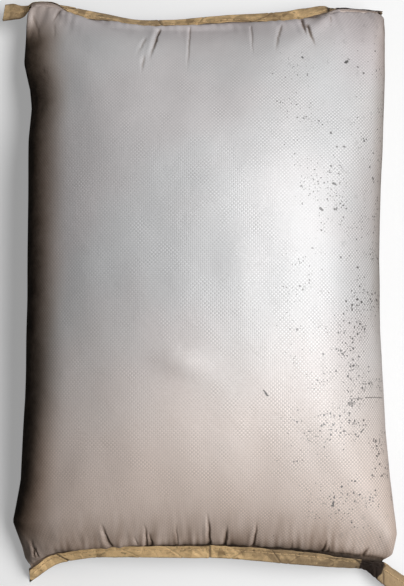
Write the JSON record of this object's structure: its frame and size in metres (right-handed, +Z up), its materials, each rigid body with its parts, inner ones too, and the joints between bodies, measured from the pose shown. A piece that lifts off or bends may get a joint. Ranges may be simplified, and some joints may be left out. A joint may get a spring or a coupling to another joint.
{
  "type": "cement sack",
  "caption": "Filled woven sack of cement lying flat on its back, closed at both ends with folded kraft tapes sewn over the mouths.",
  "frame": {"origin": "middle of the flat face on the sack's underside, on the floor", "axes": "+Z up out of the printed face, +Y along the sack from the bottom seam to the top seam, +X across it to the right as seen from above"},
  "size_m": [0.5516, 0.8111, 0.1544],
  "materials": {
    "woven_cloth": "flat-woven polypropylene tape, off-white and slightly shiny",
    "kraft_paper": "creped brown kraft paper, matt",
    "sewing_thread": "spun thread, matt"
  },
  "bodies": {
    "root": {"sack": "woven_cloth", "top_tape": "kraft_paper", "bottom_tape": "kraft_paper", "top_needle_thread": "sewing_thread", "top_looper_thread": "sewing_thread", "bottom_needle_thread": "sewing_thread", "bottom_looper_thread": "sewing_thread"}
  },
  "joints": []
}
